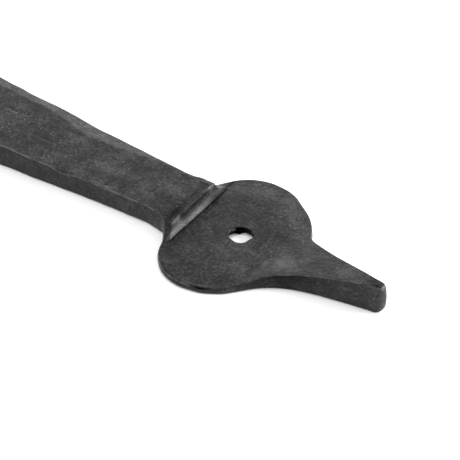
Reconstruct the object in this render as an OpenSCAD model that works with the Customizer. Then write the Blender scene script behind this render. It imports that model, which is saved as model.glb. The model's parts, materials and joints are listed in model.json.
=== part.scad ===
// Forged T-type strap hinge with penny ends, lying open and flat on its back.
// Origin: centre of the frame leaf's screw holes, on the back plane.
// +X runs along the strap to its tip, +Y along the hinge pin, +Z out of the door's face.

/* [Strap] */
// Distance from the pin's axis to the strap's tip
strap_length = 305; // [260:1:360]
// Width of the strap where it meets its eye
root_w = 44; // [40:1:46]
// Width of the strap at its narrowest, just before the penny end
neck_w = 16.2; // [14:0.1:18]
// Thickness of the strap and of the frame leaf
bar_t = 6; // [5.6:0.1:6.4]
// Distance between neighbouring screw holes of the strap
strap_pitch = 96; // [80:1:98]

/* [Penny end] */
// Radius of the round lobe on each side of the penny
lobe_r = 16.5; // [15:0.1:18]
// Sideways offset of each lobe's centre from the penny's centre line
lobe_offset = 6; // [5:0.1:7]
// Thickness of the hammered-out penny
penny_t = 2.6; // [2.2:0.1:3.2]
// Length from the penny's screw hole to the end of the tip
tip_length = 43; // [38:1:48]
// Width of the blunt end of the tip
tip_w = 2.2; // [1.6:0.1:3]
// Thickness of the tip at its blunt end
tip_t = 8.2; // [7:0.1:8.6]
// Diameter of every screw hole
screw_hole_d = 6.2; // [5:0.1:6.4]

/* [Hand forging] */
// How far the strap's neck lies to the back of the penny's hole
neck_shift = 0.8; // [0:0.1:1]
// How far the strap's lobes lie to the front of the penny's hole
lobe_shift = -0.9; // [-1.2:0.1:0]
// How far the strap's tip lies to the front of the penny's hole
tip_shift = -1.2; // [-1.5:0.1:0]
// Fillet between the penny and the tip on the strap's front side
front_fillet_r = 12; // [8:1:14]
// Fillet between the penny and the tip on the strap's back side
back_fillet_r = 5; // [4:1:14]

/* [Frame leaf] */
// Width of the leaf across its middle
leaf_w = 30; // [28:1:32]
// Distance between the screw holes in the leaf's two penny ends
leaf_outer_spacing = 124; // [120:1:140]
// Distance between the two screw holes in the leaf's middle
leaf_inner_spacing = 50; // [44:1:60]
// Size of the leaf's penny ends compared with the strap's
leaf_penny_scale = 0.72; // [0.65:0.01:0.75]

/* [Barrel and pin] */
// Distance from the line of the leaf's screw holes to the pin's axis
pin_x = 27; // [26:0.5:32]
// Outside diameter of the eye and knuckles
barrel_d = 19; // [18:0.5:20]
// Diameter of the hinge pin
pin_d = 9.9; // [9:0.1:10.5]
// Radial clearance of the pin in the strap's eye
running_gap = 0.05; // [0.02:0.01:0.1]
// Width of each knuckle of the frame leaf
knuckle_w = 15; // [12:1:16]
// Gap between the strap's eye and each knuckle
side_gap = 0.4; // [0.3:0.1:0.6]
// Diameter of the peened pin heads
head_d = 14; // [12:0.5:16]
// Height of the peened pin heads
head_h = 2.6; // [2:0.1:3.5]

/* [Hidden] */
$fn = 96;
over = 1;
barrel_r = barrel_d / 2;
penny_x = pin_x + strap_length - tip_length;
knuckle_y = root_w / 2 + side_gap;
barrel_half = knuckle_y + knuckle_w;
shoulder_r = bar_t - penny_t;
shoulder_x = 15.9;
neck_x = 24;
flare = 0.7;
foot_flare = 4.6;
tip_rise_x = 12;
tip_crest_x = 38;
tip_slope = 0.23;

// Points along an arc about a centre, from one angle to another.
function arc(centre, r, from, to, steps) =
    [for (i = [0 : steps]) let (a = from + (to - from) * i / steps) centre + r * [cos(a), sin(a)]];

// Centre of the circle of radius r that touches a round lobe and the tip's straight side.
// The side starts at the tip's end and points back to the penny along back, with outward normal n.
function fillet_centre(r, lobe, big_r, end, back, n) =
    let (
        start = end + r * n - lobe,
        b = start * back,
        c = start * start - pow(big_r + r, 2)
    )
    lobe + start + back * (-b - sqrt(b * b - c));

// Outline of the +Y side of a penny and its tip, from the penny's back to the tip's end.
function penny_side(k, fillet_r, side_shift, end_shift) =
    let (
        lobe = [-2.5 * k, k * (lobe_offset + side_shift)],
        end = [k * tip_length, tip_w / 2 + k * end_shift],
        slope = tip_slope - end_shift / tip_length,
        back = [-1, slope] / norm([-1, slope]),
        n = [slope, 1] / norm([slope, 1]),
        centre = fillet_centre(fillet_r, lobe, k * lobe_r, end, back, n),
        touch = atan2(centre.y - lobe.y, centre.x - lobe.x)
    )
    concat(
        arc(lobe, k * lobe_r, 180, touch, 20),
        arc(centre, fillet_r, 180 + touch, 270 - atan(slope), 6),
        [end]
    );

// Outline of a penny with its tip, its screw hole at the origin and the tip along +X.
module penny_outline(k, front_r, back_r, side_shift, end_shift) {
    back_side = penny_side(k, back_r, side_shift, end_shift);
    front_side = penny_side(k, front_r, -side_shift, -end_shift);
    last = len(front_side) - 1;
    polygon(concat(back_side, [for (i = [last : -1 : 0]) [front_side[i].x, -front_side[i].y]]));
}

// Side view of a penny with its tip: thin disc, then a tip that thickens to its blunt end.
module penny_profile(k, end_t) {
    polygon([
        [-k * 30, 0],
        [k * tip_length + over, 0],
        [k * tip_length + over, end_t],
        [k * tip_crest_x, end_t],
        [k * 21.5, penny_t + 0.5 * (end_t - penny_t)],
        [k * tip_rise_x, penny_t],
        [-k * 30, penny_t]
    ]);
}

// Solid penny with its tip, lying on the back plane.
module penny(k, end_t, front_r, back_r, side_shift, end_shift) {
    intersection() {
        linear_extrude(height = tip_t + over)
            penny_outline(k, front_r, back_r, side_shift, end_shift);
        translate([0, 50, 0]) rotate([90, 0, 0])
            linear_extrude(height = 100) penny_profile(k, end_t);
    }
}

// Side view of a bar that ends in a hollow shoulder, its top edge at the given place.
module shoulder_profile(length, edge_x) {
    polygon(concat(
        [[edge_x - length, 0], [edge_x - length, bar_t]],
        arc([edge_x + shoulder_r, bar_t], shoulder_r, 180, 270, 8),
        [[edge_x + shoulder_r, 0]]
    ));
}

// Screw hole through the whole thickness, centred on a point of the back plane.
module screw_hole() {
    translate([0, 0, -over]) cylinder(d = screw_hole_d, h = bar_t + 2 * over);
}

// Cylinder along Y about the pin's axis, from y = from to y = from + length.
module on_axis(d, from, length) {
    translate([pin_x, from + length, barrel_r]) rotate([90, 0, 0])
        cylinder(d = d, h = length);
}

module strap_bar() {
    intersection() {
        linear_extrude(height = bar_t) polygon([
            [pin_x, -root_w / 2],
            [penny_x - neck_x, neck_shift - neck_w / 2],
            [penny_x - shoulder_x, neck_shift - neck_w / 2 - flare],
            [penny_x - shoulder_x + shoulder_r, -neck_w / 2 - flare - foot_flare],
            [penny_x - shoulder_x + shoulder_r, neck_w / 2 + flare + foot_flare],
            [penny_x - shoulder_x, neck_shift + neck_w / 2 + flare],
            [penny_x - neck_x, neck_shift + neck_w / 2],
            [pin_x, root_w / 2]
        ]);
        translate([penny_x, root_w, 0]) rotate([90, 0, 0])
            linear_extrude(height = 2 * root_w)
                shoulder_profile(strap_length, -shoulder_x);
    }
}

module strap() {
    color("#3c3c3e") difference() {
        union() {
            strap_bar();
            translate([penny_x, 0, 0])
                penny(1, tip_t, front_fillet_r, back_fillet_r, lobe_shift, tip_shift);
            on_axis(barrel_d, -root_w / 2, root_w);
        }
        on_axis(pin_d + 2 * running_gap, -root_w / 2 - over, root_w + 2 * over);
        for (i = [0 : 2]) translate([penny_x - i * strap_pitch, 0, 0]) screw_hole();
    }
}

// Half of the leaf's bar, from its middle to the shoulder of its penny end, along +Y.
module leaf_half_bar() {
    k = leaf_penny_scale;
    penny_y = leaf_outer_spacing / 2;
    edge_y = penny_y - k * shoulder_x;
    neck = k * neck_w / 2;
    intersection() {
        linear_extrude(height = bar_t) polygon([
            [-leaf_w / 2, 0],
            [leaf_w / 2, 0],
            [leaf_w / 2, barrel_half],
            [neck, edge_y - 1.5],
            [neck + flare, edge_y],
            [neck + foot_flare, edge_y + shoulder_r],
            [-neck - foot_flare, edge_y + shoulder_r],
            [-neck - flare, edge_y],
            [-neck, edge_y - 1.5],
            [-leaf_w / 2, barrel_half]
        ]);
        translate([-leaf_w, 0, 0]) rotate([90, 0, 90])
            linear_extrude(height = 2 * leaf_w) shoulder_profile(edge_y, edge_y);
    }
}

module leaf_half() {
    k = leaf_penny_scale;
    end_t = penny_t + k * (tip_t - penny_t);
    leaf_half_bar();
    translate([0, leaf_outer_spacing / 2, 0]) rotate([0, 0, 90])
        penny(k, end_t, k * back_fillet_r, k * back_fillet_r, 0, 0);
    translate([0, knuckle_y, 0]) cube([pin_x, knuckle_w, bar_t]);
    on_axis(barrel_d, knuckle_y, knuckle_w);
}

module frame_leaf() {
    color("#38383a") difference() {
        union() {
            leaf_half();
            mirror([0, 1, 0]) leaf_half();
        }
        on_axis(pin_d, -barrel_half - over, 2 * barrel_half + 2 * over);
        for (spacing = [leaf_outer_spacing, leaf_inner_spacing], side = [-1, 1])
            translate([0, side * spacing / 2, 0]) screw_hole();
    }
}

// Domed head peened over on the pin's end, its flat face at y = 0 and its dome towards +Y.
module pin_head() {
    dome_r = (pow(head_d / 2, 2) + pow(head_h, 2)) / (2 * head_h);
    rotate([-90, 0, 0]) intersection() {
        translate([0, 0, head_h - dome_r]) sphere(r = dome_r);
        cylinder(d = head_d + over, h = head_h + over);
    }
}

module hinge_pin() {
    color("#444446") union() {
        on_axis(pin_d, -barrel_half, 2 * barrel_half);
        translate([pin_x, barrel_half, barrel_r]) pin_head();
        translate([pin_x, -barrel_half, barrel_r]) mirror([0, 1, 0]) pin_head();
    }
}

strap();
frame_leaf();
hinge_pin();
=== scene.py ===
"""Forged T-type strap hinge with penny ends, as hammered meshes with a black wax finish.

Shapes are worked out in millimetres in the flat blank of each piece, before its end is rolled
round the pin, and turned into metres in the row frame when their meshes are made.
"""
import json
import math

import bpy
import numpy as np
from mathutils import Matrix, Vector, geometry, kdtree


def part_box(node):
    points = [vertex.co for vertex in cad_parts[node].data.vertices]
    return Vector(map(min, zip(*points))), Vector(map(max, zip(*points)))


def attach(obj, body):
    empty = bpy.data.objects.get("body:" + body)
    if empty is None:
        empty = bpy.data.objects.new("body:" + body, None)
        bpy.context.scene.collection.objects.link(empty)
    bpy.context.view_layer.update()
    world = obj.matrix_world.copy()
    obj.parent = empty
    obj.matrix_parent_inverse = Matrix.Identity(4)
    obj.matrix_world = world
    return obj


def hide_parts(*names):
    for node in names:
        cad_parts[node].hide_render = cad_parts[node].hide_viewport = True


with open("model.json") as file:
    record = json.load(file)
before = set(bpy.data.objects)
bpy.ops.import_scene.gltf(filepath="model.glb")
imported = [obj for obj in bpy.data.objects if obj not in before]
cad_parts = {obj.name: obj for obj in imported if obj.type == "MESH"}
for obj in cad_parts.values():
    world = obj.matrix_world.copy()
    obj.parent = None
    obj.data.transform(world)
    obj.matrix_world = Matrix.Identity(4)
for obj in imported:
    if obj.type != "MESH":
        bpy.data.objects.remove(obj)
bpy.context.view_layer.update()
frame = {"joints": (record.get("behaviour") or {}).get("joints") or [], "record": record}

# ---------------------------------------------------------------- sizes

MM = 0.001
mounts = {m["name"]: m for m in frame["record"]["mounts"]}
swing = frame["joints"][0]
PIN_X, PIN_Z = swing["pos_m"][0] / MM, swing["pos_m"][2] / MM
tail_screws = mounts["strap_tail_screws"]
PITCH = tail_screws["dims"]["spacing_x_mm"]
PENNY_X = tail_screws["pos_m"][0] / MM + PITCH / 2
HOLE_R = tail_screws["dims"]["hole_r_mm"]
LEAF_PENNY_Y = mounts["leaf_outer_screws"]["dims"]["spacing_y_mm"] / 2
LEAF_INNER_Y = mounts["leaf_inner_screws"]["dims"]["spacing_y_mm"] / 2
BARREL_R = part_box("strap")[1].z / MM / 2
PIN_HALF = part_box("hinge_pin")[1].y / MM

BAR_T = 6.0           # thickness of the strap and leaf
PENNY_T = 2.6         # thickness of the pennies
NECK_X = -24.0        # where the strap's taper ends, from the penny's hole
NECK_HALF = 8.1       # half width of the strap there
TAPER = 0.0585        # how fast that half width grows towards the pin
NECK_SHIFT = 0.8      # how far the neck lies to the back of the penny's hole
LEAF_HALF = 15.0      # half width of the leaf's plate
EYE_T = 4.5           # thickness where the bar is drawn down and rolled
EYE_HALF = 22.0       # half width of the strap's eye
BORE_REACH = 3.55     # from the pin's axis to where the bore comes out of the bar's top
KNUCKLE_GAP = 0.4     # between the eye and each knuckle
KNUCKLE_W = 15.0      # width of each of the leaf's knuckles
ROLL_DEG = 289.0      # how far round the pin each end is rolled
PIN_R = 4.95
PIN_HEAD_R = 7.0
LEAF_SCALE = 0.72     # leaf's penny ends against the strap's

# ---------------------------------------------------------------- noise and curves

NOISE_CELLS = 128     # before the noise repeats


def smooth_noise(x, y, cell, seed):
    """Smooth noise from -1 to 1 with features about one cell wide."""
    table = np.random.default_rng(seed).uniform(-1, 1, (NOISE_CELLS, NOISE_CELLS))
    u, v = np.asarray(x, float) / cell, np.asarray(y, float) / cell
    i, j = np.floor(u).astype(int), np.floor(v).astype(int)
    f, g = blend_step(u - i), blend_step(v - j)
    i, j, next_i, next_j = (at % NOISE_CELLS for at in (i, j, i + 1, j + 1))
    low = table[i, j] * (1 - f) + table[next_i, j] * f
    high = table[i, next_j] * (1 - f) + table[next_i, next_j] * f
    return low * (1 - g) + high * g


def blend_step(x):
    """0 below 0, 1 above 1, and smooth between."""
    x = np.clip(x, 0, 1)
    return x * x * (3 - 2 * x)


def bump(x, centre, width):
    """A bell curve, 1 at its centre."""
    return np.exp(-((x - centre) / width) ** 2)


def spot(x, y, at_x, at_y, length, width):
    """A bump in two directions, length along x and width along y."""
    return np.exp(-(((x - at_x) / length) ** 2) - ((y - at_y) / width) ** 2)


def curve_through(points, per_span=10):
    """Smooth curve through the points, as an array of points."""
    p = np.array(points, float)
    ends = np.vstack([2 * p[0] - p[1], p, 2 * p[-1] - p[-2]])
    t = np.linspace(0, 1, per_span, endpoint=False)[:, None]
    out = []
    for a, b, c, d in zip(ends, ends[1:], ends[2:], ends[3:]):
        square, cube = 2 * a - 5 * b + 4 * c - d, 3 * b - a - 3 * c + d
        out.append(0.5 * (2 * b + (c - a) * t + square * t**2 + cube * t**3))
    return np.vstack([*out, p[-1:]])


def height_through(points, x):
    """Smooth height at x through (x, height) points."""
    line = curve_through(points)
    return np.interp(x, line[:, 0], line[:, 1])


def resample(loop, step=0.45):
    """Points evenly spaced round a closed outline."""
    closed = np.vstack([loop, loop[:1]])
    length = np.r_[0, np.cumsum(np.hypot(*np.diff(closed, axis=0).T))]
    at = np.linspace(0, length[-1], max(12, int(length[-1] / step)), endpoint=False)
    return np.stack([np.interp(at, length, closed[:, k]) for k in (0, 1)], 1)


def inward(loop):
    """Unit normals that point into the area on the left of the loop."""
    along = np.roll(loop, -1, 0) - np.roll(loop, 1, 0)
    along /= np.linalg.norm(along, axis=1)[:, None]
    return np.stack([-along[:, 1], along[:, 0]], 1)


class Edge:
    """A closed outline that finds how far in from it points lie, counted negative outside."""

    def __init__(self, loop):
        self.loop = loop
        self.normals = inward(loop)
        self.tree = kdtree.KDTree(len(loop))
        for i, (x, y) in enumerate(loop.tolist()):
            self.tree.insert((x, y, 0), i)
        self.tree.balance()

    def depth(self, points):
        nearest = np.array([self.tree.find((x, y, 0))[1] for x, y in points.tolist()])
        count = len(self.loop)
        best = np.full(len(points), np.inf)
        for a, b in ((nearest - 1, nearest), (nearest, nearest + 1)):
            start, end = self.loop[a % count], self.loop[b % count]
            side = end - start
            share = ((points - start) * side).sum(1) / (side**2).sum(1)
            foot = start + np.clip(share, 0, 1)[:, None] * side
            best = np.minimum(best, np.linalg.norm(points - foot, axis=1))
        sign = np.sign(((points - self.loop[nearest]) * self.normals[nearest]).sum(1))
        return best * np.where(sign < 0, -1, 1)


# ---------------------------------------------------------------- forging a plate

TOP_RINGS = (0.07, 0.18, 0.34, 0.56, 0.9, 1.35)     # rows of points this far in from the edges
BOTTOM_RINGS = (0.12, 0.3, 0.6)
ROW_SPACING = 0.866   # of a grid of even triangles, against the spacing along its rows
GRID_JITTER = 0.12    # how loose that grid is, against its spacing
WALL_ROWS = 7         # rows of points down each wall
BOTTOM_EDGE_R = 0.35  # rounding of the outline's lower edge
HOLE_EDGE_R = 0.25    # rounding of the holes' edges
ON_WALL = -1          # depth from the outline that stands for the walls
# How a punch tears a hole's lower edge, and the burr it leaves there, with the way that it faces
TEAR, TEAR_REACH = 0.65, 1.4
BURR, BURR_SPREAD, BURR_FACING = 0.85, 0.28, math.radians(132)
# Marks of the punch round the penny's hole: way it faces in degrees, spread in radians and height
PUNCH_MARKS = ((24, 0.2, 0.425), (-12, 0.3, -0.275), (255, 0.5, -0.3))
# Painted shade on each hole's rim; further down, the holes' walls are painted near black for their
# shade
HOLE_RIM_SHADE = 0.75
# Painted highlights high on each hole's wall, where light catches it: way they face and spread in
# degrees, and strength
HOLE_HIGHLIGHTS = ((160, 8, 1.0), (181, 5, 0.5))


def face_points(edges, rings, zones, seed):
    """Points over a face: its edges, rings just inside them, and a loose grid in each zone.

    Each zone is its first and last x, its first and last y, and the spacing of its grid.
    """
    extra = []
    for offset in rings:
        for edge in edges:
            extra.append((edge.loop + edge.normals * offset, offset * 0.92))
    rng = np.random.default_rng(seed)
    for x0, x1, y0, y1, step in zones:
        rows = np.arange(y0, y1, step * ROW_SPACING)
        cols = np.arange(x0, x1, step)
        gx, gy = np.meshgrid(cols, rows)
        gx = gx + (np.arange(len(rows)) % 2)[:, None] * step / 2
        grid = np.stack([gx.ravel(), gy.ravel()], 1)
        grid = grid + rng.uniform(-GRID_JITTER, GRID_JITTER, grid.shape) * step
        grid = grid[(grid[:, 0] >= x0) & (grid[:, 0] < x1)]
        extra.append((grid, max(rings) + 0.6 * step))
    kept = []
    for points, clearance in extra:
        for edge in edges:
            points = points[edge.depth(points) > clearance]
        kept.append(points)
    return np.vstack([*(edge.loop for edge in edges), *kept])


def triangulate(points, loops):
    """Triangles over the points, inside the first loop and outside the others, anticlockwise."""
    corners, start = [], 0
    for loop in loops:
        corners.append(list(range(start, start + len(loop))))
        start += len(loop)
    vectors = [Vector(p) for p in points.tolist()]
    _, _, faces, origins, _, _ = geometry.delaunay_2d_cdt(vectors, [], corners, 2, 1e-7)
    first = np.array([origin[0] if origin else -1 for origin in origins])
    tri = first[np.array([f for f in faces if len(f) == 3])]
    tri = tri[(tri >= 0).all(1)]
    a, b, c = points[tri[:, 0]], points[tri[:, 1]], points[tri[:, 2]]
    area = (b[:, 0] - a[:, 0]) * (c[:, 1] - a[:, 1]) - (b[:, 1] - a[:, 1]) * (c[:, 0] - a[:, 0])
    tri[area < 0] = tri[area < 0][:, ::-1]
    return tri[np.abs(area) > 1e-9]


def rounded(distance, radius):
    """How far a rounded edge lies below its face at a distance in from the side."""
    inner = np.clip(radius - distance, 0, radius)
    return radius - np.sqrt(np.maximum(radius**2 - inner**2, 0))


def edge_drop(edges, points, radius):
    """How far the rounding of the outline and the holes lowers a face at each point."""
    drop = rounded(np.abs(edges[0].depth(points)), radius)
    for edge in edges[1:]:
        drop = np.maximum(drop, rounded(np.abs(edge.depth(points)), HOLE_EDGE_R))
    return drop


def punch_tear(points, holes):
    """How far a punch has moved a hole's lower edge: torn wider all round but for a burr."""
    moved = np.zeros_like(points)
    for hole in holes:
        away = points - hole.loop.mean(0)
        distance = np.maximum(np.linalg.norm(away, axis=1), 0.1)
        facing = np.arctan2(away[:, 1], away[:, 0])
        tear = TEAR - BURR * bump(facing, BURR_FACING, BURR_SPREAD)
        tear = tear * np.exp(-np.abs(distance - HOLE_R) / TEAR_REACH)
        moved += away / distance[:, None] * tear[:, None]
    return moved


def wall_points(edges, rim, top_z, bottom_z):
    """Rows of points down the walls: a hammered belly outside, torn wider downwards in holes."""
    outside = len(edges[0].loop)
    share = 0.5 - 0.5 * np.cos(math.pi * np.linspace(0, 1, WALL_ROWS + 2)[1:-1][:, None])
    z = top_z * (1 - share) + bottom_z * share
    bulge = np.sin(math.pi * share)
    along = 0.5 * np.arange(1, len(rim) + 1)[None] + 0 * share
    belly = 0.16 * bulge + 0.12 * smooth_noise(along, z, 3.5, 17) * bulge
    belly[:, outside:] = 0
    normals = np.vstack([edge.normals for edge in edges])
    xy = np.repeat(rim[None], WALL_ROWS, 0) - normals[None] * np.maximum(belly, 0)[..., None]
    torn = punch_tear(rim, edges[1:])
    torn[:outside] = 0
    xy = xy + torn[None] * share[..., None] ** 2
    return np.concatenate([xy, z[..., None]], 2).reshape(-1, 3)


def wall_quads(loops, rows):
    """Quads between neighbouring rows of points, closed round each loop."""
    following, start = [], 0
    for loop in loops:
        following.append(start + np.roll(np.arange(len(loop)), -1))
        start += len(loop)
    following = np.concatenate(following)
    return [np.stack([a, b, b[following], a[following]], 1) for a, b in zip(rows, rows[1:])]


def marks_of_wear_light_and_shade(edges, upper, rows, count, wear_and_highlight, painted_shade):
    """Worn wax and painted highlights, and painted shade, at each of a plate's points.

    upper are the points of its top face and rows the numbers of the points down its walls, from
    the rim. Holes get painted shade inside but for their painted highlights.
    """
    marks = {"wear_and_highlight": np.zeros(count), "painted_shade": np.zeros(count)}
    depth = np.abs(edges[0].depth(upper))
    marks["wear_and_highlight"][: len(upper)] = wear_and_highlight(*upper.T, depth)
    marks["painted_shade"][: len(upper)] = painted_shade(*upper.T, depth)
    rim = upper[: len(rows[0])]
    in_hole = rows[0] >= len(edges[0].loop)
    marks["painted_shade"][rows[0][in_hole]] = HOLE_RIM_SHADE
    normals = np.vstack([edge.normals for edge in edges])
    facing = np.degrees(np.arctan2(normals[:, 1], normals[:, 0])) % 360
    # Painted highlights on the holes' walls, with no painted shade there
    lit_spot = in_hole * sum(strength * bump(facing, at, spread) for at, spread, strength in HOLE_HIGHLIGHTS)
    for k, row in enumerate(rows[1:]):
        lit_here = lit_spot * bump(k, 1.2, 0.8)
        marks["wear_and_highlight"][row] = np.maximum(wear_and_highlight(*rim.T, ON_WALL), 3 * lit_here)
        # Painted shade down the walls, deepest near the top
        shade = painted_shade(*rim.T, ON_WALL) * (1.15 - 0.6 * k / WALL_ROWS)
        marks["painted_shade"][row] = np.where(in_hole, 1 - np.clip(1.2 * lit_here, 0, 1), shade)
    return marks


def forge(name, loops, top, bottom, edge_r, wear_and_highlight, painted_shade, top_zones, bottom_zones, place):
    """A forged plate: top and bottom faces with rounded edges, and the walls between them.

    loops are the outline, anticlockwise, and the holes, clockwise. top, bottom and edge_r are
    functions of x and y; wear_and_highlight (worn wax and painted highlights) and painted_shade are
    functions of x, y and the depth from the outline. place turns blank coordinates into the row
    frame.
    """
    edges = [Edge(loop) for loop in loops]
    upper = face_points(edges, TOP_RINGS, top_zones, 3)
    lower = face_points(edges, BOTTOM_RINGS, bottom_zones, 4)
    top_faces, bottom_faces = triangulate(upper, loops), triangulate(lower, loops)
    upper_z = top(*upper.T) - edge_drop(edges, upper, edge_r(*upper.T))
    lower_z = bottom(*lower.T) + edge_drop(edges, lower, BOTTOM_EDGE_R)

    count = sum(len(loop) for loop in loops)
    walls = wall_points(edges, upper[:count], upper_z[:count], lower_z[:count])
    outside = len(loops[0])
    lower = lower + punch_tear(lower, edges[1:])
    lower[:outside] = upper[:outside]

    points = np.vstack([np.c_[upper, upper_z], walls, np.c_[lower, lower_z]])
    lower_start = len(upper) + len(walls)
    rows = [np.arange(count)]
    rows += [len(upper) + r * count + np.arange(count) for r in range(WALL_ROWS)]
    rows.append(lower_start + np.arange(count))
    faces = [top_faces, bottom_faces[:, ::-1] + lower_start]
    marks = marks_of_wear_light_and_shade(edges, upper, rows, len(points), wear_and_highlight, painted_shade)
    return make_mesh(name, place(points), faces, wall_quads(loops, rows), marks)


def make_mesh(name, points_mm, triangles, quads, marks):
    """A piece in the scene, from points in millimetres, with each mark's value at every point."""
    mesh = bpy.data.meshes.new(name)
    faces = [f for block in (*triangles, *quads) for f in block.tolist()]
    mesh.from_pydata((points_mm * MM).tolist(), [], faces)
    mesh.validate()
    mesh.shade_smooth()
    for key, values in marks.items():
        attribute = mesh.attributes.new(key, "FLOAT", "POINT")
        attribute.data.foreach_set("value", values.astype(np.float32))
    piece = bpy.data.objects.new(name, mesh)
    bpy.context.scene.collection.objects.link(piece)
    return piece


def ring(centre, step, seed, punched=False):
    """A screw hole's outline, clockwise and a little uneven, with the punch's marks if wanted."""
    count = max(24, int(2 * math.pi * HOLE_R / step))
    a = -np.linspace(0, 2 * math.pi, count, endpoint=False)
    r = HOLE_R + 0.12 * smooth_noise(3 * np.cos(a) + 9, 3 * np.sin(a) + 9, 1.6, seed)
    for facing, spread, height in PUNCH_MARKS if punched else ():
        turned = np.angle(np.exp(1j * (a - math.radians(facing))))
        r = r + height * bump(turned, 0, spread)
    return np.stack([centre[0] + r * np.cos(a), centre[1] + r * np.sin(a)], 1)


def cut_by_bore(height, from_axis):
    """Hollows a bar's top for the pin, from_axis counted from the pin's axis along the bar."""
    reach = np.clip(from_axis, 0, None)
    bore = BARREL_R - np.sqrt(np.maximum((BARREL_R - EYE_T) ** 2 - reach**2, 0))
    return np.where(from_axis < BORE_REACH, np.minimum(height, bore), height)


def roll(points, start_x, side):
    """Rolls what lies past start_x (on side +1 or -1) up and round the pin."""
    x, y, z = points.T
    beyond = np.maximum((x - start_x) * side, 0)
    angle, radius = beyond / BARREL_R, BARREL_R - z
    rolled_x = start_x + side * radius * np.sin(angle)
    rolled_z = BARREL_R - radius * np.cos(angle)
    flat = beyond <= 0
    return np.stack([np.where(flat, x, rolled_x), y, np.where(flat, z, rolled_z)], 1)


# ---------------------------------------------------------------- penny end

# Sides of the penny and tip, from the bar's neck to the tip's end, +X towards the tip.
BACK_SIDE = [
    (NECK_X, 9.2), (-20.5, 9.7), (-18.2, 11.4), (-16.5, 14.6), (-13.3, 18.6), (-9.4, 21.2),
    (-3.8, 22.7), (2.2, 21.9), (7.4, 18.6), (11.6, 15.1), (14.5, 11.4), (16.4, 8.3),
    (20.8, 5.6), (26.4, 3.7), (33.5, 1.8), (40.2, 0.5),
]
FRONT_SIDE = [
    (NECK_X, -7.7), (-20.5, -8.1), (-18.0, -8.7), (-15.8, -11.5), (-13.5, -17.2), (-9.3, -21.0),
    (-4.2, -22.7), (2.2, -22.0), (7.4, -19.1), (10.8, -15.5), (13.2, -12.6), (16, -10.1),
    (19.3, -8.2), (25, -6.3), (32.3, -4.6), (40.4, -3.0),
]
# Round the tip's end, from the front side to the back side, and how far the tip reaches
TIP_CAP = [(42.8, -2.6), (44.1, -1.8), (44.5, -0.8), (43.2, 0.1)]
TIP_REACH = 44.6
# Distance from the hole and height of the penny and tip
TIP_HEIGHTS = [
    (-30, PENNY_T), (0, PENNY_T), (9, 2.65), (12, 2.8), (16, 3.7),
    (21.5, 5.5), (27, 6.5), (33, 7.6), (39, 8.3), (50, 8.4),
]
# Top edge and foot of the shoulder at the front and back, as (x, y), and how far its ends flare
RIDGE_FRONT, RIDGE_BACK = (-15.1, -8.8), (-15.1, 9.8)
FOOT_FRONT, FOOT_BACK = (-13.75, -12), (-13.55, 11)
SIDE_SPREAD = 3.2


def penny_loop_part(k):
    """The penny's outline from the front neck round the tip to the back neck, at k of full size."""
    front = curve_through(FRONT_SIDE)
    back = curve_through(BACK_SIDE)[::-1]
    cap = curve_through([FRONT_SIDE[-1], *TIP_CAP, BACK_SIDE[-1]])[1:-1]
    return np.vstack([front, cap, back]) * k


def penny_top(u, v, k):
    """Height of the penny and tip at k of full size, u towards the tip and v across.

    The penny is as thick at any size. The tip rises from it, and its rim is hammered thinner.
    """
    u, v = u / k, v / k
    front_rise = 0.7 * bump(u, 15.5, 3.5) * blend_step(-v / 8)
    rise = height_through(TIP_HEIGHTS, u) + front_rise - PENNY_T
    height = PENNY_T + rise * k
    height = height + 0.05 * smooth_noise(u, v, 7, 5) + 0.035 * smooth_noise(u, v, 3, 6)
    from_middle = np.hypot(u + 2.5, v + 0.9)
    return height - 0.5 * blend_step((from_middle - 14) / 9) * blend_step((12 - u) / 6)


def line_x(front, back, v):
    """X at v on the line through two (x, y) points."""
    return front[0] + (v - front[1]) / (back[1] - front[1]) * (back[0] - front[0])


def ridge_x(v):
    """Where the shoulder's top edge runs across the bar, not quite straight."""
    return line_x(RIDGE_FRONT, RIDGE_BACK, v) + 0.12 * smooth_noise(v, 0 * v, 3, 8)


def foot_x(v):
    """Where the shoulder's foot meets the penny."""
    return line_x(FOOT_FRONT, FOOT_BACK, v)


def shoulder_share(u, v):
    """1 on the thick bar, 0 on the penny, and a hollow fuller mark between them."""
    edge_x = ridge_x(v)
    spread = 0.4 + SIDE_SPREAD * blend_step((u + 19.4) / 2.8)
    along = np.clip((u - edge_x) / (foot_x(v) - edge_x), 0, None)
    beyond = np.maximum(v - RIDGE_BACK[1] - 0.2, RIDGE_FRONT[1] - 0.2 - v)
    across = np.where(u < -20, 0, np.clip(beyond / spread, 0, None))
    out = np.clip((along**8 + across**8) ** 0.125, 0, 1)
    return 0.45 * (1 - out) ** 5 + 0.55 * (1 - out) ** 1.1


def ridge_burr(u, v):
    """Metal pushed up behind the shoulder's top edge, and the groove at its foot."""
    beyond = u - foot_x(v)
    groove = 0.14 * np.exp(-np.clip(beyond, 0, None) / 0.9) * (beyond > 0) * (np.abs(v) < 13)
    return 0.03 * np.exp(-((u - ridge_x(v) + 0.3) / 0.8) ** 2) * (beyond < 0) - groove


# ---------------------------------------------------------------- strap

ROLL_LENGTH = BARREL_R * math.radians(ROLL_DEG)
ROOT_X = PIN_X - PENNY_X
# Dents in the strap's top: centre, half length, half width and depth
DENTS = [
    (-75.9, 2.6, 1.8, 0.5, 0.35), (-72.2, 3.2, 0.6, 0.4, 0.25), (-38.7, -6.9, 1.4, 0.5, 0.6),
    (-62, -2.0, 2.2, 0.5, 0.12), (-55, 4.6, 5.0, 1.6, 0.12), (-43.0, 1.8, 6.5, 3.4, 0.32),
    (-33, 2.5, 5.0, 3.0, 0.12), (-27, -3.0, 3.0, 2.0, 0.1), (-15.2, -8.2, 2.4, 2.8, 0.8),
]


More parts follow.
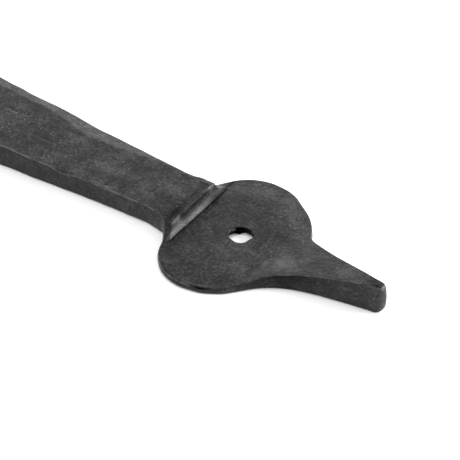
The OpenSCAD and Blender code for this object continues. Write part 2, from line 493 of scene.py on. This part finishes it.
def strap_loops():
    """The strap's outline, before its end is rolled, and its three screw holes."""
    start_x = ROOT_X - ROLL_LENGTH
    end = [(ROOT_X, EYE_HALF), (start_x, EYE_HALF), (start_x, -EYE_HALF), (ROOT_X, -EYE_HALF)]
    outline = resample(np.vstack([penny_loop_part(1), end]))
    x, y = outline.T
    free = blend_step((x - ROOT_X - 8) / 10) * blend_step((24 - x) / 6)
    side = np.sign(y) * 20
    wave = 0.2 * smooth_noise(x, side, 9, 21) + 0.04 * smooth_noise(x, side, 2.5, 22)
    swell = np.where(y > 0, back_swell(x), front_swell(x))
    outline = outline + inward(outline) * (wave * free - swell)[:, None]
    holes = [ring((-i * PITCH, 0), 0.3, 30 + i, punched=i == 0) for i in range(3)]
    return [outline, *holes]


def front_swell(x):
    """How far the bar's front edge is beaten out, or in where it is negative."""
    return 0.5 * bump(x, -76, 40) + 0.2 * bump(x, -61.5, 4) - 0.17 * bump(x, -39, 11)


def back_swell(x):
    """How far the bar's back edge is beaten out, or in where it is negative."""
    near_neck = 0.3 * bump(x, -46, 18) - 0.3 * bump(x, -54, 4.5)
    return near_neck - 0.6 * bump(x, -78, 9) + 0.24 * bump(x, -80.5, 2.8)


def strap_mid(x):
    """Middle line of the bar, which leans a little to the back at the neck."""
    return NECK_SHIFT * blend_step((x - ROOT_X) / (NECK_X - ROOT_X))


def back_edge(x):
    """Y of the bar's back edge."""
    return strap_mid(x) + NECK_HALF + TAPER * np.clip(NECK_X - x, 0, None) + back_swell(x)


def back_chamfer(x):
    """Width of the sloping band hammered along the bar's back edge."""
    past_neck = blend_step((NECK_X - x) / 22)
    wide = 2.4 * past_neck + 1.5 * bump(x, -54, 12)
    return 0.4 + wide + 0.5 * past_neck * smooth_noise(x, 0 * x, 14, 11)


def worn_edge(depth):
    """1 along the very edge of a face, and 0 further in."""
    return np.clip(1 - np.abs(depth - 0.08) / 0.13, 0, 1)


def strap_wear_and_highlight(x, y, depth):
    """Worn wax and painted highlights: a pale line along the bar's front edge and the penny's rim,
    partly worn wax and partly painted highlight, and painted highlights on the sloping band, at the
    shoulder's corners and at the tip's end.
    """
    front = y < strap_mid(x)
    # A pale line along the bar's front edge and the penny's front rim: partly worn wax, partly
    # painted highlight
    bar_edge = front * (x < -19) * (1 - 0.95 * bump(x, -50.5, 3))
    strong = np.maximum(bar_edge, 1.5 * front * bump(x, -3.6, 3))
    # Painted highlight on the sloping band along the back edge
    band_highlight = blend_step((back_chamfer(x) - (back_edge(x) - y)) / 0.5 + 0.5) * (x < -20)
    past = x - ridge_x(y)
    # Painted highlights at the ends of the shoulder's top edge
    corner_highlight = 0.8 * spot(past, y, 0, 8.0, 0.3, 0.8) + 0.6 * spot(past, y, 0.1, -6.8, 0.4, 1.7)
    # Painted highlight round the tip's end, stronger down its wall
    end = blend_step((x - 43.3) / 0.8) * (0.15 + 0.2 * (depth == ON_WALL))
    # A pale line along the tip's front edge: partly worn wax, partly painted highlight
    on_tip = 0.6 * front * (x > 15) * (depth != ON_WALL) * worn_edge(depth)
    local = 0.1 * band_highlight + corner_highlight + end + on_tip
    return np.maximum(worn_edge(depth) * np.maximum(0.2, strong), local)


def strap_shade(x, y, depth):
    """Painted shade behind and along the shoulder's top edge, low in its hollow, in the crease at
    its foot, in a crack at the penny's rim and down the walls; a dark spot on the tip's end; and
    darker towards the penny.
    """
    past, short = x - ridge_x(y), x - foot_x(y)
    # Painted shade just behind the shoulder's top edge
    behind = 0.4 * bump(past, -1.5, 1.2) * (np.abs(y) < 9)
    behind = behind + 0.3 * spot(past, y, -1.7, -5.5, 1.3, 2.2)
    lip_ends = blend_step((y + 6.2) / 1.5) * blend_step((8.0 - y) / 3)
    # Painted shade along the shoulder's top edge, dimming its highlight
    lip = 0.6 * bump(past, 0.08, 0.25) * lip_ends
    # Painted shade low in the shoulder's hollow towards the back, dimming its highlight
    shade = 0.7 * blend_step((y - 1) / 8) * bump(short, -0.35, 0.55)
    # Painted shadow in the crease at the shoulder's foot
    groove = 0.5 * bump(short, 0.25, 0.35) * (np.abs(y) < 13)
    # Painted shade of a crack under the penny's front rim
    crack = np.clip(1.2 - np.abs(depth) / 0.22, 0, 1) * bump(x, 2.8, 2.4) * (y < 0)
    # A dark spot on the tip's end, near its front corner
    nick = spot(x, y, 42.3, -2.0, 0.7, 0.35)
    # Darker towards the penny
    darker_to_penny = 0.13 * blend_step((x + 60) / 30)
    face = np.clip(darker_to_penny + behind + lip + shade + groove + crack + nick, 0, 1)
    # Painted shade down the walls, deepest on the front where the penny turns into the tip
    wall = 0.25 + 0.45 * bump(x, 20, 8) * (y < 0)
    return np.where(depth == ON_WALL, wall, face)


def strap_top(x, y):
    """Height of the strap: its hammered bar, hollowed for the pin, and the penny with its tip."""
    bar = BAR_T + 0.11 * smooth_noise(x, y, 9, 9) + 0.05 * smooth_noise(x, y, 3.6, 10)
    bar = bar + 1.3 * bump(x, -78, 26)
    for at_x, at_y, length, width, depth in DENTS:
        bar = bar - depth * spot(x, y, at_x, at_y, length, width)
    over_edge = np.clip(y - back_edge(x) + back_chamfer(x), 0, None)
    bar = bar - 0.15 * over_edge * blend_step((x - ROOT_X - 12) / 20)
    bar = cut_by_bore(bar + ridge_burr(x, y), x - ROOT_X)
    head = penny_top(x, y, 1)
    tip_drop = 1.7 * rounded(np.clip(TIP_REACH - x, 0, None), 1.5)
    groove = np.where(x > foot_x(y), ridge_burr(x, y), 0)
    return head + (bar - head) * shoulder_share(x, y) + groove - tip_drop


def strap_edge(x, y):
    """Radius of the strap's upper edge: softened where a hammer hit it, and wide on the penny."""
    softened = 0.9 * bump(x, -50.5, 2.8) * (y < 0)
    thin = 0.45 * blend_step((x + 20) / 4) * blend_step((9 - x) / 6)
    return 0.25 + softened + thin + 0.06 * smooth_noise(x, np.sign(y) * 5, 3, 12)


def hammered_back(x, y):
    """Height of the back's light hammer marks, from the back plane up."""
    return 0.05 + 0.05 * smooth_noise(x, y, 7, 13)


def strap_bottom(x, y):
    """Height of the strap's back, which curves up at the tip's end."""
    return hammered_back(x, y) + 1.3 * rounded(np.clip(TIP_REACH - x, 0, None), 2.2)


def strap_place(points):
    """Rolls the strap's eye and moves the penny's hole to its place."""
    return roll(points, ROOT_X, -1) + [PENNY_X, 0, 0]


# ---------------------------------------------------------------- frame leaf


def leaf_loops():
    """The leaf's outline, with the tabs that are rolled into its knuckles, and its screw holes."""
    inner_y = EYE_HALF + KNUCKLE_GAP
    outer_y = inner_y + KNUCKLE_W
    tab_x = PIN_X + ROLL_LENGTH
    part = penny_loop_part(LEAF_SCALE)
    top_end = np.stack([-part[:, 1], LEAF_PENNY_Y + part[:, 0]], 1)
    low_end = np.stack([part[:, 1], -LEAF_PENNY_Y - part[:, 0]], 1)
    middle = [(LEAF_HALF, -inner_y + 1.5), (LEAF_HALF, inner_y - 1.5)]
    top_tab = [(LEAF_HALF + 1.2, inner_y), (tab_x, inner_y)]
    top_tab += [(tab_x, outer_y), (LEAF_HALF + 1.5, outer_y)]
    low_tab = [(x, -y) for x, y in top_tab[::-1]]
    left = [(-LEAF_HALF, outer_y), (-LEAF_HALF, -outer_y)]
    outline = resample(np.vstack([low_tab, middle, top_tab, top_end, left, low_end]))
    x, y = outline.T
    free = (x < LEAF_HALF - 1) & (np.abs(y) < LEAF_PENNY_Y + 8)
    wave = 0.2 * smooth_noise(y, np.sign(x) * 20, 9, 23) * free
    outline = outline + inward(outline) * wave[:, None]
    places = [(0, side * at) for at in (LEAF_PENNY_Y, LEAF_INNER_Y) for side in (-1, 1)]
    holes = [ring(at, 0.4, 40 + i) for i, at in enumerate(places)]
    return [outline, *holes]


def leaf_top(x, y):
    """Height of the leaf: its plate, hollowed for the pin, and a penny at each end."""
    k = LEAF_SCALE
    u, v = np.abs(y) - LEAF_PENNY_Y, np.where(y > 0, -x, x)
    plate = BAR_T + 0.09 * smooth_noise(x, y, 8, 14) + 0.035 * smooth_noise(x, y, 3.2, 15)
    plate = cut_by_bore(plate, PIN_X - x) + ridge_burr(u / k, v / k)
    head = penny_top(u, v, k)
    return head + (plate - head) * shoulder_share(u / k, v / k)


def leaf_edge(x, y):
    return 0.36 + 0.1 * smooth_noise(x, y, 4, 16)


def leaf_rub(x, y, depth):
    return 0.4 * worn_edge(depth)


def leaf_shade(x, y, depth):
    # Painted shade down the walls
    return np.where(depth == ON_WALL, 0.3, 0) + 0 * x


def leaf_place(points):
    """Rolls the leaf's knuckles."""
    return roll(points, PIN_X, 1)


# ---------------------------------------------------------------- pin


def lathe_pin(around=96):
    """Pin with a hammered dome on each end, turned about Y."""
    inner = EYE_HALF + KNUCKLE_GAP + KNUCKLE_W
    dome = PIN_HALF - inner
    head = [(0.02, PIN_HALF)]
    for t in np.linspace(0.08, 1, 12):
        head.append((PIN_HEAD_R * t, PIN_HALF - dome * 0.86 * t**2.4))
    head += [(PIN_HEAD_R - 0.15, inner + 0.06), (PIN_R, inner + 0.03)]
    shaft = [(PIN_R, y) for y in np.linspace(inner, -inner, 24)]
    profile = np.array([*head, *shaft, *((r, -y) for r, y in head[::-1])])
    a = np.linspace(0, 2 * math.pi, around, endpoint=False)
    r, y = profile[:, 0][:, None], profile[:, 1][:, None]
    side = np.sign(y)
    facet = smooth_noise(r * np.cos(a) + 40, r * np.sin(a) + 40 + side * 20, 2.6, 18)
    on_dome = (np.abs(y) > inner) & (r < PIN_HEAD_R - 0.1)
    y = y - side * np.where(on_dome, 0.12 * np.abs(facet) + 0.02, 0)
    wobble = 0.25 * smooth_noise(np.cos(a) * 2 + 7, np.sin(a) * 2 + 7, 1.3, 19)
    in_head = on_dome | (r > PIN_R + 0.5)
    r = r - np.where(in_head, np.abs(wobble), 0) * r / PIN_HEAD_R
    points = np.stack([PIN_X + r * np.cos(a), y + 0 * a, PIN_Z + r * np.sin(a)], 2).reshape(-1, 3)
    rows = np.arange(len(profile) * around).reshape(len(profile), around)
    quads = [np.stack([p, np.roll(p, -1), np.roll(q, -1), q], 1) for p, q in zip(rows, rows[1:])]
    fan = [[0, i, i + 1] for i in range(1, around - 1)]
    caps = [rows[0][::-1][fan], rows[-1][fan]]
    return make_mesh("peened_pin", points, caps, quads, {})


# ---------------------------------------------------------------- material


class Nodes:
    """Short way to build a material's nodes."""

    def __init__(self, name):
        self.material = bpy.data.materials.new(name)
        self.material.use_nodes = True
        self.tree = self.material.node_tree
        self.shader = self.tree.nodes["Principled BSDF"]

    def add(self, kind, inputs=None, **settings):
        node = self.tree.nodes.new(kind)
        for key, value in settings.items():
            setattr(node, key, value)
        for key, value in (inputs or {}).items():
            if isinstance(value, bpy.types.NodeSocket):
                self.tree.links.new(value, node.inputs[key])
            else:
                node.inputs[key].default_value = value
        return node

    def noise(self, vector, scale, detail=3.0, rough=0.55, distortion=0.0):
        inputs = {"Vector": vector, "Scale": scale, "Detail": detail}
        inputs |= {"Roughness": rough, "Distortion": distortion}
        return self.add("ShaderNodeTexNoise", inputs).outputs["Fac"]

    def ramp(self, value, stops):
        """Maps a value through (position, grey or colour) stops."""
        node = self.add("ShaderNodeValToRGB", {"Fac": value})
        elements = node.color_ramp.elements
        while len(elements) < len(stops):
            elements.new(0.5)
        for element, (position, colour) in zip(elements, stops):
            element.position = position
            grey = isinstance(colour, (int, float))
            element.color = (colour, colour, colour, 1) if grey else (*colour, 1)
        return node.outputs["Color"]

    def mix(self, share, a, b):
        """Mixes two colours, each a socket or plain numbers."""
        colours = {6: a if isinstance(a, bpy.types.NodeSocket) else (*a, 1), 7: (*b, 1)}
        return self.add("ShaderNodeMix", {0: share, **colours}, data_type="RGBA").outputs[2]

    def math(self, operation, a, b=0.0, c=0.0):
        return self.add("ShaderNodeMath", {0: a, 1: b, 2: c}, operation=operation).outputs[0]

    def link(self, value, socket):
        self.tree.links.new(value, self.shader.inputs[socket])


def waxed_iron(name, dark, middle, light):
    """Black beeswax over hammered mild steel."""
    wax = Nodes(name)
    place = wax.add("ShaderNodeTexCoord").outputs["Object"]
    grain = wax.noise(place, 1250, 3, 0.75)
    mottle = wax.noise(place, 240, 4, 0.6, 0.5)
    cloud = wax.noise(place, 70, 3, 0.5, 0.4)
    fine = wax.math("MULTIPLY_ADD", grain, 0.5, wax.math("MULTIPLY", mottle, 0.33))
    tone = wax.math("MULTIPLY_ADD", cloud, 0.17, fine)
    base = wax.ramp(tone, [(0.43, dark), (0.51, middle), (0.585, light)])

    stretch = {"Vector": place, "Rotation": (0, 0, 0.9), "Scale": (2600, 160, 900)}
    along = wax.add("ShaderNodeMapping", stretch).outputs["Vector"]
    scratch = wax.ramp(wax.noise(along, 1, 2, 0.5), [(0.62, 0.0), (0.68, 0.5)])
    where_scratched = wax.ramp(wax.noise(place, 90, 2, 0.5), [(0.5, 0.0), (0.62, 1.0)])
    scratched = wax.math("MULTIPLY", scratch, where_scratched)
    base = wax.mix(scratched, base, (0.075, 0.075, 0.077))

    crowded = wax.ramp(wax.noise(place, 150, 3, 0.6), [(0.45, 0.12), (0.62, 1.0)])
    specks = wax.ramp(wax.noise(place, 1900, 2, 0.6), [(0.63, 0.0), (0.67, 0.95)])
    base = wax.mix(wax.math("MULTIPLY", specks, crowded), base, (0.13, 0.128, 0.12))
    pits = wax.ramp(wax.noise(place, 2100, 2, 0.6), [(0.34, 0.85), (0.4, 0.0)])
    base = wax.mix(wax.math("MULTIPLY", pits, crowded), base, (0.012, 0.012, 0.013))

    # Paler where wax is worn off the edges, and painted highlights where light catches the edges,
    # the shoulder's corners, the sloping band, the tip's end and the holes' walls
    wear_and_highlight = wax.add("ShaderNodeAttribute", attribute_name="wear_and_highlight").outputs["Fac"]
    patchy = wax.ramp(wax.noise(place, 330, 2, 0.5), [(0.36, 0.2), (0.56, 0.95)])
    base = wax.mix(wax.math("MULTIPLY", wear_and_highlight, patchy), base, (0.14, 0.136, 0.134))
    # Painted shade: near black and with less reflection, in the holes, down the walls and about the
    # shoulder
    painted_shade = wax.add("ShaderNodeAttribute", attribute_name="painted_shade").outputs["Fac"]
    base = wax.mix(painted_shade, base, (0.001, 0.001, 0.001))

    wax.link(base, "Base Color")
    gloss = wax.noise(place, 150, 5, 0.65)
    wax.link(wax.ramp(gloss, [(0.3, 0.28), (0.7, 0.48)]), "Roughness")
    wax.link(wax.math("MULTIPLY_ADD", painted_shade, -0.3, 0.31), "Specular IOR Level")
    wax.shader.inputs["Metallic"].default_value = 0.0
    height = wax.math("MULTIPLY_ADD", grain, 0.35, wax.noise(place, 360, 5, 0.65))
    relief = wax.add("ShaderNodeBump", {"Height": height, "Strength": 0.45, "Distance": 0.0004})
    wax.link(relief.outputs["Normal"], "Normal")
    return wax.material


# ---------------------------------------------------------------- studio


def studio():
    """A white floor in a white room, with three soft lights."""
    white = Nodes("studio_floor")
    white.shader.inputs["Base Color"].default_value = (0.95, 0.95, 0.95, 1)
    white.shader.inputs["Roughness"].default_value = 1.0
    white.shader.inputs["Specular IOR Level"].default_value = 0.0
    mesh = bpy.data.meshes.new("studio_floor")
    reach = 6.0
    corners = [(x * reach, y * reach, 0) for x, y in ((-1, -1), (1, -1), (1, 1), (-1, 1))]
    mesh.from_pydata(corners, [], [(0, 1, 2, 3)])
    floor = bpy.data.objects.new("studio_floor", mesh)
    floor.data.materials.append(white.material)
    bpy.context.scene.collection.objects.link(floor)

    world = bpy.data.worlds.new("studio")
    bpy.context.scene.world = world
    world.use_nodes = True
    world.node_tree.nodes["Background"].inputs["Color"].default_value = (1, 1, 1, 1)
    world.node_tree.nodes["Background"].inputs["Strength"].default_value = 0.85
    softbox("right", Vector((1.0, 0.8, 0.5)), Vector((0.28, 0, 0.05)), (0.9, 0.8), 27)
    softbox("back", Vector((-0.25, 1.25, 0.4)), Vector((0.2, 0, 0)), (1.2, 0.5), 3.5)
    softbox("overhead", Vector((0.1, -0.1, 1.4)), Vector((0.2, 0, 0)), (0.7, 0.7), 9)
    bpy.context.scene.view_settings.view_transform = "Standard"


def softbox(name, at, towards, size, watts):
    light = bpy.data.lights.new(name, "AREA")
    light.shape = "RECTANGLE"
    light.size, light.size_y = size
    light.energy = watts
    lamp = bpy.data.objects.new(name, light)
    lamp.location = at
    lamp.rotation_euler = (towards - at).to_track_quat("-Z", "Y").to_euler()
    bpy.context.scene.collection.objects.link(lamp)


def camera():
    """Looks down at the penny from in front of the strap, at a product picture's distance."""
    azimuth, elevation, distance = math.radians(35), math.radians(41), 0.6
    view_width = 0.117949     # metres across the picture, at the penny's hole
    to_left, upwards = 0.0026667, 0.0012308     # from the hole to the picture's middle
    level = math.cos(elevation)
    back = Vector((math.sin(azimuth) * level, -math.cos(azimuth) * level, math.sin(elevation)))
    right = Vector((math.cos(azimuth), math.sin(azimuth), 0))
    up = back.cross(right)
    hole = Vector((PENNY_X * MM, 0, PENNY_T * MM))
    data = bpy.data.cameras.new("camera")
    data.sensor_width = 36
    data.lens = distance / view_width * data.sensor_width
    eye = bpy.data.objects.new("camera", data)
    eye.location = hole + back * distance - right * to_left + up * upwards
    eye.rotation_euler = Matrix((right, up, back)).transposed().to_euler()
    bpy.context.scene.collection.objects.link(eye)
    bpy.context.scene.camera = eye


# ---------------------------------------------------------------- build


camera()
studio()

strap = forge(
    "forged_strap",
    strap_loops(),
    top=strap_top,
    bottom=strap_bottom,
    edge_r=strap_edge,
    wear_and_highlight=strap_wear_and_highlight,
    painted_shade=strap_shade,
    top_zones=[
        (-320, -85, -30, 30, 0.8),
        (-85, -19.5, -30, 30, 0.42),
        (-19.5, -17, -30, 30, 0.3),
        (-17, -13, -30, 30, 0.22),
        (-13, 45, -30, 30, 0.4),
    ],
    bottom_zones=[(-262, 45, -30, 30, 1.6), (-320, -262, -30, 30, 0.8)],
    place=strap_place,
)
leaf = forge(
    "forged_leaf",
    leaf_loops(),
    top=leaf_top,
    bottom=hammered_back,
    edge_r=leaf_edge,
    wear_and_highlight=leaf_rub,
    painted_shade=leaf_shade,
    top_zones=[(-30, 30, -100, 100, 0.6), (30, 80, -50, 50, 0.8)],
    bottom_zones=[(-30, 24, -100, 100, 1.6), (24, 80, -50, 50, 0.8)],
    place=leaf_place,
)
pin = lathe_pin()

iron = waxed_iron(
    "waxed_iron",
    dark=(0.0012, 0.0009, 0.0014),
    middle=(0.010, 0.0098, 0.0102),
    light=(0.034, 0.034, 0.0335),
)
pin_iron = waxed_iron(
    "waxed_pin",
    dark=(0.002, 0.0018, 0.0022),
    middle=(0.013, 0.0128, 0.0132),
    light=(0.04, 0.04, 0.039),
)
for piece, body, node, slot, material in (
    (strap, "door_side", "strap", "waxed_iron", iron),
    (leaf, "frame_side", "frame_leaf", "waxed_iron", iron),
    (pin, "frame_side", "hinge_pin", "pin_iron", pin_iron),
):
    piece.data.materials.append(material)
    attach(piece, body)
    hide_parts(node)
